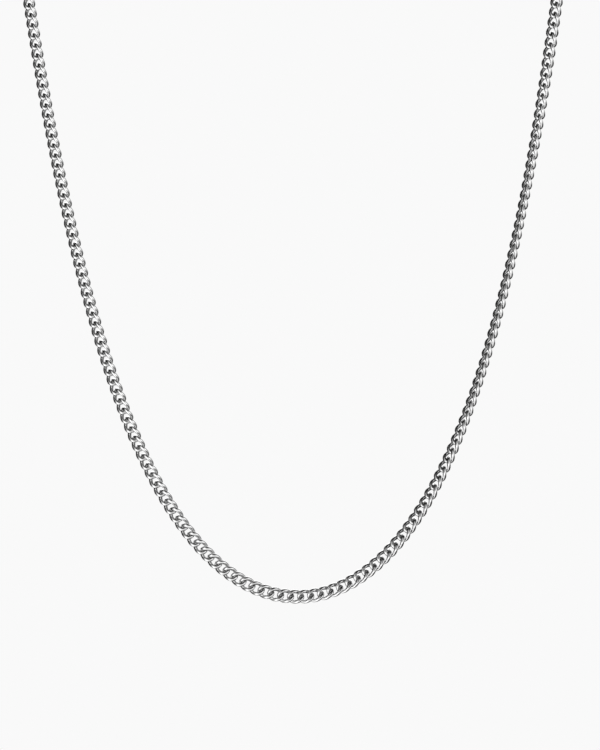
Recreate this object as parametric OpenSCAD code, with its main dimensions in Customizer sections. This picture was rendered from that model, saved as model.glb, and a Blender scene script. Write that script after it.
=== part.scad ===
// A necklace of curb links, hanging as it is worn: a whole loop that closes at the nape.
// X runs across the wearer, Y from the chest to the nape and Z up.
// The origin is the middle of the nape, where the closed loop rests on the neck.

/* [Link] */
// Width of the chain across its flat face
chain_w = 3.06; // [3.06:0.01:3.1]
// Diameter of the wire that a link is bent from
wire_d = 0.8; // [0.76:0.01:0.8]
// Extra diameter of a link's straight sides, where its wire is soldered
solder = 0.04; // [0.03:0.005:0.04]
// Half of a link's length, along the middle of its wire
link_half = 1.62; // [1.6:0.01:1.64]
// Slope of a link's straight sides, which gives the link its twist
side_slope = 37; // [37:0.5:39]
// Links on each side of the lowest point
links = 113; // [112:1:113]

/* [Loop] */
// Radius of the hanging curve at its lowest point
sag_r = 22; // [21.9:0.1:22.1]
// Height of the hanging curve
hang_h = 130; // [129.5:0.5:130.5]
// Radius by which each strand becomes upright above the hanging curve
strand_r = 55; // [50:5:60]
// Radius by which each strand turns back over the shoulder
shoulder_r = 12; // [12:0.5:12.5]
// Radius of the loop at the side of the neck
side_r = 28; // [27:0.5:29]
// Half of the angle that the nape's flatter curve turns through
nape_turn = 40; // [39:0.5:41]

/* [Clasp] */
// Distance between the chain's two ends, along the middle of the clasp's wire
clasp_l = 12.4; // [12:0.1:13]
// Diameter of the clasp's wire at its two eyes
eye_d = 0.8; // [0.76:0.01:0.84]
// Radius of each eye, along the middle of its wire
eye_r = 1.15; // [1.1:0.05:1.2]
// Diameter of the clasp's barrel
barrel_d = 2.6; // [2:0.1:2.8]

/* [Hidden] */
round_fn = 48;
wire_fn = 24;

// A link is a skew four-sided frame of wire. Each corner is one arc that starts at the link's
// end and runs into a straight side. The four corners and two sides are one shape turned about
// the link's three axes.
half_w = (chain_w - wire_d) / 2;
corner_rise = link_half * tan(side_slope);
end_tilt = atan2(corner_rise, half_w);
corner_reach = norm([half_w, corner_rise]);
side_half = link_half / cos(side_slope) - corner_reach;
corner_turn = acos(-sin(end_tilt) * sin(side_slope));
corner_r = corner_reach / tan(corner_turn / 2);
corner_lean = atan(tan(side_slope) * cos(end_tilt));
side_lap = 0.12;
// Rows: one piece of a link. Columns: turn about X, Y and Z, and whether it is a corner.
link_pieces = [
    [[0, 0, 0], true],
    [[180, 0, 0], true],
    [[0, 180, 0], true],
    [[0, 0, 180], true],
    [[0, 0, 0], false],
    [[180, 0, 0], false],
];

// The loop, from its lowest point up one side, as arc lengths at the end of each stretch:
// the hanging curve, the strand, the shoulder, the side of the neck and half of the nape.
hang_u = ln((hang_h + sag_r + sqrt(hang_h * (hang_h + 2 * sag_r))) / sag_r);
hang_x = sag_r * hang_u;
hang_l = sqrt(hang_h * (hang_h + 2 * sag_r));
strand_lean = atan(sag_r / hang_l);
loop_half_w = hang_x + strand_r * (1 - cos(strand_lean));
strand_top = hang_h + strand_r * sin(strand_lean);
nape_r = side_r + (loop_half_w - side_r) / sin(nape_turn);
nape_y = shoulder_r + (side_r - nape_r) * cos(nape_turn);
strand_end = hang_l + strand_r * strand_lean * PI / 180;
shoulder_end = strand_end + shoulder_r * PI / 2;
side_end = shoulder_end + side_r * (90 - nape_turn) * PI / 180;
loop_half = side_end + nape_r * nape_turn * PI / 180;
loop_depth = nape_y + nape_r;
loop_h = strand_top + shoulder_r;
pitch = (loop_half + link_half - clasp_l / 2) / (links + 0.5);
// The clasp is straight, so it lies this far inside the nape's curve to meet both ends.
clasp_sag = nape_r - sqrt(nape_r * nape_r - clasp_l * clasp_l / 4);
barrel_half = clasp_l / 2 - 2 * eye_r + eye_d / 4 - barrel_d / 2;

// How far the chain's flat face is turned from facing forwards, by arc length from the
// lowest point, with the wearer's left strand at positive lengths. At the nape it lies
// against the neck.
// Rows: one station. Columns: arc length, turn in degrees.
face_turn = [
    [-loop_half, 90],
    [-178, 49],
    [-145, 43],
    [-91, 39],
    [-69, 34],
    [-47, 24],
    [-25, 14],
    [0, 0],
    [8, -10],
    [30, -27],
    [52, -45],
    [75, -54],
    [100, -57],
    [118, -48],
    [129, -41],
    [140, -33],
    [178, -40],
    [loop_half, -90],
];

function face_at(s) = lookup(s, face_turn);
function hang_at(q) = ln(q / sag_r + sqrt(q * q / (sag_r * sag_r) + 1));

// A place on one side of the loop at arc length q: its point, the way the loop runs there
// and the direction in which the loop's own flat side faces.
function on_hang(u) =
    let (c = (exp(u) + exp(-u)) / 2, t = (exp(u) - exp(-u)) / 2)
    [[sag_r * u, 0, sag_r * (c - 1)], [1 / c, 0, t / c], [0, -1, 0]];
function on_strand(f) =
    [[hang_x + strand_r * (cos(f) - cos(strand_lean)), 0, strand_top - strand_r * sin(f)],
     [sin(f), 0, cos(f)], [0, -1, 0]];
function on_shoulder(f) =
    [[loop_half_w, shoulder_r * (1 - cos(f)), strand_top + shoulder_r * sin(f)],
     [0, sin(f), cos(f)], [0, -cos(f), sin(f)]];
function on_side(f) =
    [[loop_half_w + side_r * (cos(f) - 1), shoulder_r + side_r * sin(f), loop_h],
     [-sin(f), cos(f), 0], [0, 0, 1]];
function on_nape(f) =
    [[nape_r * cos(f), nape_y + nape_r * sin(f), loop_h], [-sin(f), cos(f), 0], [0, 0, 1]];
function on_loop(q) =
    q <= hang_l ? on_hang(hang_at(q)) :
    q <= strand_end ? on_strand(strand_lean - (q - hang_l) / strand_r * 180 / PI) :
    q <= shoulder_end ? on_shoulder((q - strand_end) / shoulder_r * 180 / PI) :
    q <= side_end ? on_side((q - shoulder_end) / side_r * 180 / PI) :
    on_nape(90 - (loop_half - q) / nape_r * 180 / PI);

// The same place on either side, as the matrix that puts a link there. Both sides run the
// same way round the loop, so every link has the same hand.
function link_place(s) =
    let (half = on_loop(abs(s)),
         side = s < 0 ? -1 : 1,
         point = [side * half[0][0], half[0][1] - loop_depth, half[0][2] - loop_h],
         along = [half[1][0], side * half[1][1], side * half[1][2]],
         inward = cross(half[2], along),
         across = cos(face_at(s)) * inward + sin(face_at(s)) * half[2],
         face = cross(along, across))
    [[along[0], across[0], face[0], point[0]],
     [along[1], across[1], face[1], point[1]],
     [along[2], across[2], face[2], point[2]],
     [0, 0, 0, 1]];

module link_corner() {
    translate([link_half, 0, 0])
        rotate([-end_tilt, 0, 0])
        rotate([0, corner_lean, 0])
        translate([-corner_r, 0, 0])
        rotate_extrude(angle = corner_turn, $fn = round_fn)
        translate([corner_r, 0])
        circle(d = wire_d, $fn = wire_fn);
}

module link_side() {
    translate([0, half_w, 0])
        rotate([0, 90 + side_slope, 0])
        cylinder(h = 2 * (side_half + side_lap), d = wire_d + solder, center = true, $fn = wire_fn);
}

module link() {
    for (piece = link_pieces)
        rotate(piece[0])
        if (piece[1]) link_corner(); else link_side();
}

module strand(side) {
    for (i = [0 : links - 1])
        multmatrix(link_place(side * (i + 0.5) * pitch)) link();
}

module chain_left() {
    color("silver") strand(1);
}

module chain_right() {
    color("silver") strand(-1);
}

module eye(side) {
    translate([side * (clasp_l / 2 - eye_r), -clasp_sag, 0])
        rotate([90 - side * end_tilt, 0, 0])
        rotate_extrude($fn = round_fn)
        translate([eye_r, 0])
        circle(d = eye_d, $fn = wire_fn);
}

// The barrel's domed ends close the eyes, so the clasp is one piece.
module barrel() {
    translate([0, -clasp_sag, 0])
        rotate([0, 90, 0])
        cylinder(h = 2 * barrel_half, d = barrel_d, center = true, $fn = round_fn);
    for (side = [-1, 1])
        translate([side * barrel_half, -clasp_sag, 0])
        sphere(d = barrel_d, $fn = round_fn);
}

module clasp() {
    color("silver") {
        eye(-1);
        eye(1);
        barrel();
    }
}

chain_left();
chain_right();
clasp();
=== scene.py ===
# %% [markdown]
# # A neck chain of curb links
# The object is a polished silver necklace. It is made of short wire links that are twisted,
# hooked one into the next and pressed until their faces lie nearly flush. Two hundred and
# twenty-six links and a plain clasp close into one loop. The CAD model already holds every
# link and the whole route of the loop, so the first step is to load it as a fixed frame. All
# that is made below has to sit where that frame says.

# %% Load the fixed frame
import math
import bpy
import numpy as np
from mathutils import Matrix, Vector


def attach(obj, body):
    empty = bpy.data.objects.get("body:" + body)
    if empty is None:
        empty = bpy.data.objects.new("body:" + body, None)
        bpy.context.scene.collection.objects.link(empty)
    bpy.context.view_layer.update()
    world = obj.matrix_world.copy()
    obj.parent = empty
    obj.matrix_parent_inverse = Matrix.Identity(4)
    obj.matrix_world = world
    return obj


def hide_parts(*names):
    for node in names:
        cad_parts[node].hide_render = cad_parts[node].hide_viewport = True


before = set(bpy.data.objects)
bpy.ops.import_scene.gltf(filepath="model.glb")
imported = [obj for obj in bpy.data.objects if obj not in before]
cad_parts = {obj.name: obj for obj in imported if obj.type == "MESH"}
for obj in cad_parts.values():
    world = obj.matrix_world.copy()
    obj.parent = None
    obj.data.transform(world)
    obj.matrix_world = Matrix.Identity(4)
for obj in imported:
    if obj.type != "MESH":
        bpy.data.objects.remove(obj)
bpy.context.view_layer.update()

print("CAD nodes:", sorted(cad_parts))

# %% [markdown]
# ## The route of the loop
# A chain that hangs from two points takes the form of a catenary, so the front of the loop is
# one catenary. Above it each strand becomes upright, bends back over the shoulder and runs
# round the neck. These are the same stretches and sizes as in the CAD source. It would be
# possible to read the links' places from the CAD mesh, but a formula gives the direction of
# the loop at every point as well, and that is what turns each link the right way.

# %% Name the sizes of the loop
MM = 0.001
sag_radius = 22.0        # of the hanging curve at its lowest point
hang_height = 130.0      # of the hanging curve
strand_radius = 55.0     # by which each strand becomes upright
shoulder_radius = 12.0   # by which each strand turns back
side_radius = 28.0       # of the loop at the side of the neck
nape_half_turn = math.radians(40)
links_a_side = 113
clasp_length = 12.4      # between the middles of the clasp's end wires
link_reach = 1.62        # half of a CAD link's length

hang_length = math.sqrt(hang_height * (hang_height + 2 * sag_radius))
hang_half_width = sag_radius * math.asinh(hang_length / sag_radius)
strand_lean = math.atan2(sag_radius, hang_length)
loop_half_width = hang_half_width + strand_radius * (1 - math.cos(strand_lean))
strand_top = hang_height + strand_radius * math.sin(strand_lean)
nape_radius = side_radius + (loop_half_width - side_radius) / math.sin(nape_half_turn)
nape_centre_y = shoulder_radius + (side_radius - nape_radius) * math.cos(nape_half_turn)
strand_end = hang_length + strand_radius * strand_lean
shoulder_end = strand_end + shoulder_radius * math.pi / 2
side_end = shoulder_end + side_radius * (math.pi / 2 - nape_half_turn)
half_loop = side_end + nape_radius * nape_half_turn
loop_depth = nape_centre_y + nape_radius
loop_height = strand_top + shoulder_radius
pitch = (half_loop + link_reach - clasp_length / 2) / (links_a_side + 0.5)
print(f"the loop is {2 * half_loop:.1f} mm long, and a link repeats every {pitch:.3f} mm")

# %% [markdown]
# ## The camera
# The photograph looks straight at the chest with a long lens, so the two strands hardly
# converge and the shoulders stay out of the picture. The frame is 163.95 mm high where the
# chain hangs. A 300 mm lens keeps that height at about 1.37 m, where the perspective is as
# weak as in the photograph. The half degree of roll levels the loop as it hangs in the picture.

# %% Set up the camera
lens = 300.0
sensor = 36.0
frame_height = 163.95    # in mm, as are all sizes until they meet MM
frame_middle = (0.80, -loop_depth, 48.44 - loop_height)
roll = 0.497             # in degrees
camera_data = bpy.data.cameras.new("camera")
camera_data.lens = lens
camera_data.sensor_width = sensor
camera_data.clip_end = 20
camera = bpy.data.objects.new("camera", camera_data)
bpy.context.scene.collection.objects.link(camera)
camera_distance = frame_height * lens / sensor
camera.location = Vector(frame_middle) * MM - Vector((0, camera_distance * MM, 0))
camera.rotation_euler = (math.pi / 2, math.radians(roll), 0)
bpy.context.scene.camera = camera
print(f"the camera stands {camera_distance:.0f} mm in front of the chain")

# %% [markdown]
# ## How each link is turned
# The chain's flat face does not look forwards everywhere. The strands of a worn chain roll
# on the chest, one to the inside and the other to the outside, and only the lowest links
# face the viewer. The turn was read off the photograph from the chain's apparent width and
# is kept as a short table, which NumPy interpolates in between.

# %% Read the turn of the chain's face
# Columns: arc length from the lowest point in mm, turn in degrees
face_turn = np.array([
    (-half_loop, 90), (-178, 48), (-131, 42), (-79, 40), (-44, 27), (-17, 7), (0, -11),
    (17, -23), (35, -38), (61, -61), (87, -65), (105, -66), (122, -58), (140, -43), (178, -44),
    (half_loop, -90),
])


def loop_side_at(q):
    """Point, direction and outward side of one half of the loop at arc length q."""
    if q <= hang_length:
        u = math.asinh(q / sag_radius)
        point = (sag_radius * u, 0, sag_radius * (math.cosh(u) - 1))
        return point, (1 / math.cosh(u), 0, math.tanh(u)), (0, -1, 0)
    if q <= strand_end:
        f = strand_lean - (q - hang_length) / strand_radius
        x = hang_half_width + strand_radius * (math.cos(f) - math.cos(strand_lean))
        point = (x, 0, strand_top - strand_radius * math.sin(f))
        return point, (math.sin(f), 0, math.cos(f)), (0, -1, 0)
    if q <= shoulder_end:
        f = (q - strand_end) / shoulder_radius
        point = (loop_half_width, shoulder_radius * (1 - math.cos(f)),
                 strand_top + shoulder_radius * math.sin(f))
        return point, (0, math.sin(f), math.cos(f)), (0, -math.cos(f), math.sin(f))
    if q <= side_end:
        f = (q - shoulder_end) / side_radius
        point = (loop_half_width + side_radius * (math.cos(f) - 1),
                 shoulder_radius + side_radius * math.sin(f), loop_height)
        return point, (-math.sin(f), math.cos(f), 0), (0, 0, 1)
    f = math.pi / 2 - (half_loop - q) / nape_radius
    point = (nape_radius * math.cos(f), nape_centre_y + nape_radius * math.sin(f), loop_height)
    return point, (-math.sin(f), math.cos(f), 0), (0, 0, 1)


def loop_at(s):
    """The same for the whole loop, in metres, with the direction across the chain's face."""
    point, along, outward = (Vector(v) for v in loop_side_at(abs(s)))
    side = -1 if s < 0 else 1
    point = Vector((side * point.x, point.y - loop_depth, point.z - loop_height)) * MM
    along = Vector((along.x, side * along.y, side * along.z))
    turn = math.radians(float(np.interp(s, face_turn[:, 0], face_turn[:, 1])))
    across = math.cos(turn) * outward.cross(along) + math.sin(turn) * outward
    return point, along, across


for name, s in (("lowest point", 0), ("middle of a strand", 80), ("shoulder", strand_end)):
    print(name, [round(c * 1000, 1) for c in loop_at(s)[0]])

# %% [markdown]
# ## The guide
# A guide is a bare row of points and edges for Geometry Nodes to follow. Its points carry
# attributes that the tree can look up at any length: the direction `along` the loop, the
# direction `across` the chain's face, and `slip`. The links of a hanging chain are not spaced
# quite evenly, so the photograph shows them up to 2 mm from an even row. The slip is how
# far they have crept, read off the photograph, and it is nothing at the clasp. There is one
# guide for each strand, because each is one CAD node and so one piece. The steps are half a
# millimetre, short enough that their sum is the true arc length.

# %% Make the two guides
guide_step = 0.5
just_off = 0.001         # keeps a guide's first point on its own side of the lowest point
# Columns: arc length from the lowest point in mm, creep towards the wearer's left in mm
link_slip = np.array([
    (-half_loop, 0), (-147, -0.56), (-140, -0.41), (-87, 0.14), (-35, 0.42), (0, 0.55),
    (35, 0.49), (52, 0.59), (87, 1.05), (122, 1.45), (131, 1.70), (140, 1.92), (147, 2.05),
    (half_loop, 0),
])


def make_guide(name, side):
    lengths = np.arange(0, half_loop, guide_step)
    stations = [loop_at(side * max(q, just_off)) for q in lengths]
    mesh = bpy.data.meshes.new(name)
    mesh.from_pydata([s[0] for s in stations], [(i, i + 1) for i in range(len(stations) - 1)], [])
    for key, column in (("along", 1), ("across", 2)):
        attribute = mesh.attributes.new(key, "FLOAT_VECTOR", "POINT")
        attribute.data.foreach_set("vector", np.array([s[column] for s in stations], float).ravel())
    slip = side * np.interp(side * lengths, link_slip[:, 0], link_slip[:, 1]) * MM
    mesh.attributes.new("slip", "FLOAT", "POINT").data.foreach_set("value", slip)
    guide = bpy.data.objects.new(name, mesh)
    bpy.context.scene.collection.objects.link(guide)
    print(f"{name}: {len(stations)} points")
    return guide


guides = {"chain_left": make_guide("guide_left", 1), "chain_right": make_guide("guide_right", -1)}

# %% [markdown]
# ## One link
# A curb link starts as an oval ring of round wire. It is twisted, so that its two long sides
# lean opposite ways, and then pressed, which gives its faces a flat, bright table. The ring is
# a formula: a rounded oval seen from the front, with a double wave in depth for the twist. A
# coarse tube of six sides follows it. Subdivision will round it later, in the tree, so the
# link that is repeated keeps only a few dozen faces. But each subdivided point is drawn to its
# neighbours, an eighth of the way to each, and the ring would shrink. So the coarse points are
# pushed outwards, a few times over, until what subdivision makes of them has the size wanted.

# %% Shape the middle line of a link's wire
half_long = 1.545      # middle of the wire to the link's centre, along the chain
half_wide = 1.142      # and across it
twist_depth = 0.522    # how far the long sides rise and dip
oval = 1.06            # below 1 squares the ring's corners, above 1 sharpens its ends
wave = 1.04            # below 1 makes the twist's slopes steeper
rings = 14             # of points along the wire
sides = 6              # points in a ring
wire_width = 0.89
table_height = 0.825   # where pressing has cut the wire flat
round_loss = 0.87      # what subdivision leaves of a six-sided tube's radius
pushes = 8             # times that the coarse points are pushed outwards


def power(v, p):
    return np.sign(v) * np.abs(v) ** p


sweep = np.linspace(0, 2 * np.pi, 2001)
fine = np.stack([
    half_long * power(np.cos(sweep), oval),
    half_wide * power(np.sin(sweep), oval),
    -twist_depth * power(np.sin(2 * sweep), wave),
], axis=1)
run = np.concatenate([[0], np.cumsum(np.linalg.norm(np.diff(fine, axis=0), axis=1))])
even = np.linspace(0, run[-1], rings, endpoint=False)
wanted = np.stack([np.interp(even, run, fine[:, k]) for k in range(3)], axis=1)
middle = wanted.copy()
for push in range(pushes):
    middle += wanted - (np.roll(middle, 1, axis=0) + 6 * middle + np.roll(middle, -1, axis=0)) / 8
print(f"a link takes {run[-1]:.2f} mm of wire")

# %% [markdown]
# The tube needs two directions at each ring, one out from the link's centre and one towards
# its face. Both are square to the wire. Each point is then held to the table's height, which
# presses the link flat on both faces. The points on the ring's inner side are marked in an
# attribute, `recess`, where the material paints shade.

# %% Wrap a coarse tube round the line
wire_run = np.roll(middle, -1, axis=0) - np.roll(middle, 1, axis=0)
wire_run /= np.linalg.norm(wire_run, axis=1)[:, None]
outwards = middle * (1, 1, 0)
outwards -= (outwards * wire_run).sum(axis=1)[:, None] * wire_run
outwards /= np.linalg.norm(outwards, axis=1)[:, None]
facing = np.cross(wire_run, outwards)
angle = 2 * np.pi * (np.arange(sides) + 0.5) / sides
radius = wire_width / 2 / round_loss
tube = (middle[:, None]
        + radius * np.cos(angle)[None, :, None] * outwards[:, None]
        + radius * np.sin(angle)[None, :, None] * facing[:, None])
tube[..., 2] = np.clip(tube[..., 2], -table_height, table_height)
quads = [(i * sides + j, i * sides + (j + 1) % sides,
          (i + 1) % rings * sides + (j + 1) % sides, (i + 1) % rings * sides + j)
         for i in range(rings) for j in range(sides)]
link_mesh = bpy.data.meshes.new("link")
link_mesh.from_pydata([tuple(v) for v in tube.reshape(-1, 3) * MM], [], quads)
inner_side = -0.2        # cosine of the angle past which a point is on the inner side
# The inner side, which the material darkens as painted shade
inside = np.repeat((np.cos(angle) < inner_side)[None, :], rings, axis=0).astype(float)
link_mesh.attributes.new("recess", "FLOAT", "POINT").data.foreach_set("value", inside.ravel())
link = bpy.data.objects.new("link", link_mesh)
print(f"the link has {len(quads)} faces")

# %% [markdown]
# ## Silver
# Silver is a metal, so the shader's base colour is its reflection: almost white and without
# any hue. What makes it look real is that it is not perfect. Fine polishing marks blur the
# reflections here and there, and some links are a little duller than their neighbours, which
# the tree below will note in an attribute, `wear`. Inside the rings the colour is darkened:
# painted shade where the links hide each other, with a little tarnish. The `recess` attribute
# and a little noise place it. The clasp is polished all over, so its one colour is set on the
# shader itself.

# %% Make the silver
bare_silver = (0.93, 0.93, 0.93, 1)
# Painted shade inside the rings, with a little tarnish
painted_shade_colour = (0.10, 0.10, 0.10, 1)


def make_silver(name, worn):
    material = bpy.data.materials.new(name)
    material.use_nodes = True
    nodes, links = material.node_tree.nodes, material.node_tree.links
    shader = nodes["Principled BSDF"]
    shader.inputs["Metallic"].default_value = 1
    shader.inputs["Base Color"].default_value = bare_silver
    place = nodes.new("ShaderNodeTexCoord")

    haze = nodes.new("ShaderNodeTexNoise")
    haze.inputs["Scale"].default_value = 900
    haze.inputs["Detail"].default_value = 4
    links.new(place.outputs["Object"], haze.inputs["Vector"])
    rough = nodes.new("ShaderNodeMapRange")
    rough.inputs["From Min"].default_value = 0.35
    rough.inputs["From Max"].default_value = 0.8
    rough.inputs["To Min"].default_value = 0.05
    rough.inputs["To Max"].default_value = 0.12
    links.new(haze.outputs["Fac"], rough.inputs["Value"])
    links.new(rough.outputs["Result"], shader.inputs["Roughness"])

    # Duller links from wear, and painted shade inside the rings
    if worn:
        wear = nodes.new("ShaderNodeAttribute")
        wear.attribute_name = "wear"
        dull = nodes.new("ShaderNodeMath")
        dull.operation = "MULTIPLY_ADD"
        dull.inputs[1].default_value = 0.2
        links.new(wear.outputs["Fac"], dull.inputs[0])
        links.new(haze.outputs["Fac"], dull.inputs[2])
        links.new(dull.outputs[0], rough.inputs["Value"])
        # Painted shade: the inner side of each ring, broken up by noise, is mixed towards the dark
        # colour
        recess = nodes.new("ShaderNodeAttribute")
        recess.attribute_name = "recess"
        patch = nodes.new("ShaderNodeMath")
        patch.operation = "MULTIPLY"
        links.new(recess.outputs["Fac"], patch.inputs[0])
        links.new(haze.outputs["Fac"], patch.inputs[1])
        colour = nodes.new("ShaderNodeMix")
        colour.data_type = "RGBA"
        colour.inputs["A"].default_value = bare_silver
        colour.inputs["B"].default_value = painted_shade_colour
        links.new(patch.outputs[0], colour.inputs["Factor"])
        links.new(colour.outputs["Result"], shader.inputs["Base Color"])

    marks = nodes.new("ShaderNodeTexNoise")
    marks.inputs["Scale"].default_value = 4000
    marks.inputs["Detail"].default_value = 3
    links.new(place.outputs["Object"], marks.inputs["Vector"])
    bump = nodes.new("ShaderNodeBump")
    bump.inputs["Strength"].default_value = 0.06
    bump.inputs["Distance"].default_value = 0.0001
    links.new(marks.outputs["Fac"], bump.inputs["Height"])
    links.new(bump.outputs["Normal"], shader.inputs["Normal"])
    print(f"{name}: {len(nodes)} nodes")
    return material


link_silver = make_silver("polished silver, links", True)
link_mesh.materials.append(link_silver)
clasp_silver = make_silver("polished silver, clasp", False)

# %% [markdown]
# ## A tree that lays links along a guide
# This is work for Geometry Nodes: one small tree lays any number of links along any guide.
# It makes one point per link, finds each point's length along the guide, and samples the
# guide there. Axes to Rotation makes a rotation of the two directions it finds. The sizes are
# named inputs, so the tree can be used for another chain.

# %% Build the tree
tree = bpy.data.node_groups.new("links along a guide", "GeometryNodeTree")
tree.is_modifier = True
for name, kind, way in (
    ("Guide", "NodeSocketGeometry", "INPUT"),
    ("Link", "NodeSocketObject", "INPUT"),
    ("Links", "NodeSocketInt", "INPUT"),
    ("First", "NodeSocketFloat", "INPUT"),
    ("Pitch", "NodeSocketFloat", "INPUT"),
    ("Seed", "NodeSocketInt", "INPUT"),
    ("Material", "NodeSocketMaterial", "INPUT"),
    ("Chain", "NodeSocketGeometry", "OUTPUT"),
):
    tree.interface.new_socket(name, in_out=way, socket_type=kind)
group_in = tree.nodes.new("NodeGroupInput").outputs
group_out = tree.nodes.new("NodeGroupOutput").inputs


def add(kind, settings=(), wires=()):
    """One node, with its settings and what feeds its named or numbered inputs."""
    node = tree.nodes.new(kind)
    for key, value in dict(settings).items():
        setattr(node, key, value)
    for key, value in dict(wires).items():
        if isinstance(value, bpy.types.NodeSocket):
            tree.links.new(value, node.inputs[key])
        else:
            node.inputs[key].default_value = value
    return node


curve = add("GeometryNodeMeshToCurve", {}, {"Mesh": group_in["Guide"]})
points = add("GeometryNodePoints", {}, {"Count": group_in["Links"]})
index = add("GeometryNodeInputIndex")
length = add("ShaderNodeMath", {"operation": "MULTIPLY_ADD"},
             {0: index.outputs[0], 1: group_in["Pitch"], 2: group_in["First"]})
print("the tree has", len(tree.nodes), "nodes so far")

# %% [markdown]
# The guide is sampled three times, because one Sample Curve node gives one attribute beside
# the position. The first time is at the length of an even row and gives the slip, which is
# added to the length before the other two. The wear is a number from 0 to 1 for each link,
# with a fixed seed.

# %% Sample the guide and place the links
samples = {}
for key, kind in (("slip", "FLOAT"), ("along", "FLOAT_VECTOR"), ("across", "FLOAT_VECTOR")):
    named = add("GeometryNodeInputNamedAttribute", {"data_type": kind}, {"Name": key})
    samples[key] = add("GeometryNodeSampleCurve", {"mode": "LENGTH", "data_type": kind},
                       {"Curves": curve.outputs[0], "Value": named.outputs[0],
                        "Length": length.outputs[0]})
    if key == "slip":
        length = add("ShaderNodeMath", {"operation": "ADD"},
                     {0: length.outputs[0], 1: samples[key].outputs["Value"]})
placed = add("GeometryNodeSetPosition", {},
             {"Geometry": points.outputs[0], "Position": samples["along"].outputs["Position"]})
rotation = add("FunctionNodeAxesToRotation", {"primary_axis": "X", "secondary_axis": "Y"},
               {"Primary Axis": samples["along"].outputs["Value"],
                "Secondary Axis": samples["across"].outputs["Value"]})
shape = add("GeometryNodeObjectInfo", {}, {"Object": group_in["Link"]})
instances = add("GeometryNodeInstanceOnPoints", {},
                {"Points": placed.outputs[0], "Instance": shape.outputs["Geometry"],
                 "Rotation": rotation.outputs[0]})
chance = add("FunctionNodeRandomValue", {"data_type": "FLOAT"}, {"Seed": group_in["Seed"]})
worn = add("GeometryNodeStoreNamedAttribute", {"domain": "INSTANCE", "data_type": "FLOAT"},
           {"Geometry": instances.outputs[0], "Name": "wear", "Value": chance.outputs["Value"]})

# %% [markdown]
# Realize Instances turns the copies into one real mesh, one level of subdivision rounds every
# link, and Set Material gives it the silver. The export needs all three, because it keeps
# neither instances nor modifiers.

# %% Finish the tree
realized = add("GeometryNodeRealizeInstances", {}, {"Geometry": worn.outputs[0]})
rounded = add("GeometryNodeSubdivisionSurface", {}, {"Mesh": realized.outputs[0], "Level": 1})
smooth = add("GeometryNodeSetShadeSmooth", {}, {"Geometry": rounded.outputs[0]})
silvered = add("GeometryNodeSetMaterial", {},
               {"Geometry": smooth.outputs[0], "Material": group_in["Material"]})
tree.links.new(silvered.outputs[0], group_out["Chain"])
print("the tree has", len(tree.nodes), "nodes")

# %% [markdown]
# ## The two strands
# Each guide gets the tree as a modifier. Its inputs are set by the sockets' identifiers
# before Blender evaluates it, and the evaluated result is kept as a plain mesh in a new
# object. That object replaces the CAD node, which stays behind.

# %% Lay the links
socket = {item.name: item.identifier for item in tree.interface.items_tree
          if item.in_out == "INPUT"}
strands = {}
for seed, (name, guide) in enumerate(guides.items()):
    modifier = guide.modifiers.new("links", "NODES")
    modifier.node_group = tree
    modifier[socket["Link"]] = link
    modifier[socket["Links"]] = links_a_side
    modifier[socket["First"]] = pitch / 2 * MM
    modifier[socket["Pitch"]] = pitch * MM
    modifier[socket["Seed"]] = seed
    modifier[socket["Material"]] = link_silver
    evaluated = guide.evaluated_get(bpy.context.evaluated_depsgraph_get())
    mesh = bpy.data.meshes.new_from_object(evaluated)
    mesh.name = name
    strands[name] = bpy.data.objects.new(name + "_links", mesh)
    bpy.context.scene.collection.objects.link(strands[name])
    print(f"{name}: {len(mesh.polygons)} faces, materials {[m.name for m in mesh.materials]}")
for guide in guides.values():
    bpy.data.objects.remove(guide)
bpy.data.objects.remove(link)

# %% [markdown]
# ## Put the strands in place of the CAD nodes
# Each strand rides on the only body and stands in for its CAD node, which is hidden. The clasp
# keeps its CAD shape and only changes its material.

for name, strand in strands.items():
    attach(strand, "root")
    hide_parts(name)
clasp = bpy.data.objects["clasp"]
for material_slot in clasp.material_slots:
    material_slot.material = clasp_silver

# %% [markdown]
# ## The floor
# The photograph's background is an even near-white. A round floor lies well below the chain,
# out of the photograph's view, for the other angles. It is plain matt paper in the middle and
# fades to the background's own brightness at its edge, so no horizon shows. The chain does
# not mirror it, because such a near white field would wash out the dark lines between links.

# %% Lay the floor
paper = 0.948          # linear brightness of the photograph's background
floor_height = -0.25
floor_radius = 1.2
corners = 96             # of the round floor
floor_mesh = bpy.data.meshes.new("floor")
floor_mesh.from_pydata(
    [(floor_radius * math.cos(2 * math.pi * i / corners),
      floor_radius * math.sin(2 * math.pi * i / corners), floor_height) for i in range(corners)],
    [], [tuple(range(corners))])
floor = bpy.data.objects.new("floor", floor_mesh)
bpy.context.scene.collection.objects.link(floor)
floor_material = bpy.data.materials.new("pale floor")
floor_material.use_nodes = True
nodes, links = floor_material.node_tree.nodes, floor_material.node_tree.links
matt = nodes["Principled BSDF"]
matt.inputs["Base Color"].default_value = (0.88, 0.88, 0.88, 1)
matt.inputs["Roughness"].default_value = 1
matt.inputs["Specular IOR Level"].default_value = 0
glow = nodes.new("ShaderNodeEmission")
glow.inputs["Color"].default_value = (paper, paper, paper, 1)
place = nodes.new("ShaderNodeTexCoord")
distance = nodes.new("ShaderNodeVectorMath")
distance.operation = "LENGTH"
fade = nodes.new("ShaderNodeMapRange")
fade.interpolation_type = "SMOOTHSTEP"
fade.inputs["From Min"].default_value = 0.1
fade.inputs["From Max"].default_value = 0.9
blend = nodes.new("ShaderNodeMixShader")
links.new(place.outputs["Object"], distance.inputs[0])
links.new(distance.outputs["Value"], fade.inputs["Value"])
links.new(fade.outputs["Result"], blend.inputs["Fac"])
links.new(matt.outputs[0], blend.inputs[1])
links.new(glow.outputs[0], blend.inputs[2])
links.new(blend.outputs[0], nodes["Material Output"].inputs["Surface"])
floor_mesh.materials.append(floor_material)
floor.visible_glossy = False
print(f"the floor lies {-floor_height * 1000:.0f} mm below the nape")
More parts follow.
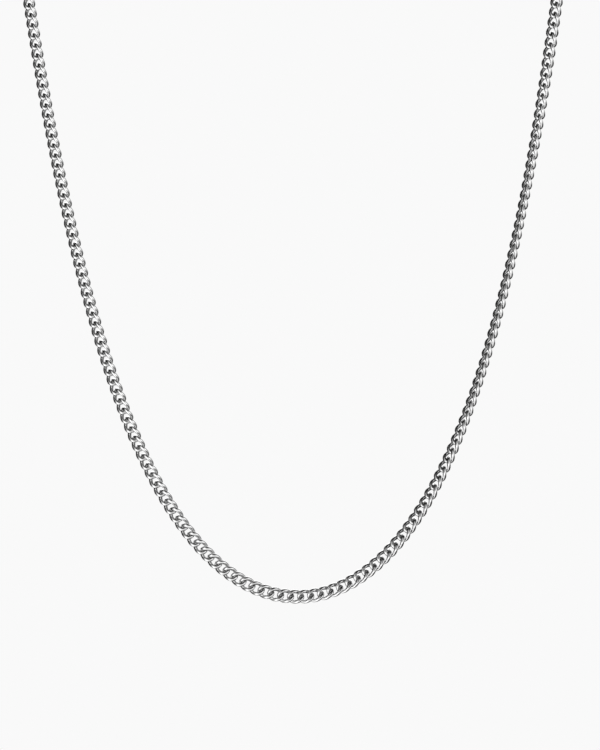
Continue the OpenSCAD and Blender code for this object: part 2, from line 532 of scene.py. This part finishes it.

# %% [markdown]
# ## The light
# Polished silver shows nothing but its surroundings, so the light is drawn as softboxes on
# the world's sphere: round soft-edged patches of white on near black. Lighting the chain from
# one side at a time showed which sides matter. Nine softboxes were then placed in round
# angles, and the best of a few tries was kept. Six stand in front, most of them low, and
# reach round to the wearer's left. Two stand one above the other behind, and one shines from
# below. Only mirror reflections see them. The camera and the matt floor get the even
# background through the Light Path node.

# %% Draw the softboxes on the world
world = bpy.data.worlds.new("studio")
bpy.context.scene.world = world
world.use_nodes = True
nodes, links = world.node_tree.nodes, world.node_tree.links
studio = nodes["Background"]
direction = nodes.new("ShaderNodeTexCoord").outputs["Generated"]
dim = 0.002              # brightness between the softboxes
tightness = 14           # a higher number makes smaller softboxes
# Rows: one softbox. Columns: degrees from the front towards the wearer's left, degrees up,
# strength. First the six in front, then the two behind, then the one below
softboxes = [
    (-40, -20, 1.5), (0, -30, 1.0), (35, -10, 1.0), (65, 10, 1.2), (130, 10, 0.6), (-35, 25, 0.6),
    (180, 15, 2.2), (180, 45, 1.5),
    (-70, -60, 1.8),
]
total = None
for azimuth, elevation, strength in softboxes:
    around, up = math.radians(azimuth), math.radians(elevation)
    towards = (math.cos(up) * math.sin(around), -math.cos(up) * math.cos(around), math.sin(up))
    aim = nodes.new("ShaderNodeVectorMath")
    aim.operation = "DOT_PRODUCT"
    aim.inputs[1].default_value = towards
    links.new(direction, aim.inputs[0])
    off = nodes.new("ShaderNodeMath")
    off.operation = "MULTIPLY_ADD"
    off.inputs[1].default_value = tightness
    off.inputs[2].default_value = -tightness
    links.new(aim.outputs["Value"], off.inputs[0])
    fall = nodes.new("ShaderNodeMath")
    fall.operation = "EXPONENT"
    links.new(off.outputs[0], fall.inputs[0])
    plus = nodes.new("ShaderNodeMath")
    plus.operation = "MULTIPLY_ADD"
    plus.inputs[1].default_value = strength
    plus.inputs[2].default_value = dim
    links.new(fall.outputs[0], plus.inputs[0])
    if total:
        links.new(total, plus.inputs[2])
    total = plus.outputs[0]
links.new(total, studio.inputs["Color"])
backdrop = nodes.new("ShaderNodeBackground")
backdrop.inputs["Color"].default_value = (paper, paper, paper, 1)
mirrored = nodes.new("ShaderNodeLightPath").outputs["Is Glossy Ray"]
choice = nodes.new("ShaderNodeMixShader")
links.new(mirrored, choice.inputs["Fac"])
links.new(backdrop.outputs[0], choice.inputs[1])
links.new(studio.outputs[0], choice.inputs[2])
links.new(choice.outputs[0], nodes["World Output"].inputs["Surface"])
bpy.context.scene.view_settings.view_transform = "Standard"
print(len(softboxes), "softboxes")

# %% [markdown]
# ## Finish

# %% Finish
bpy.context.view_layer.update()
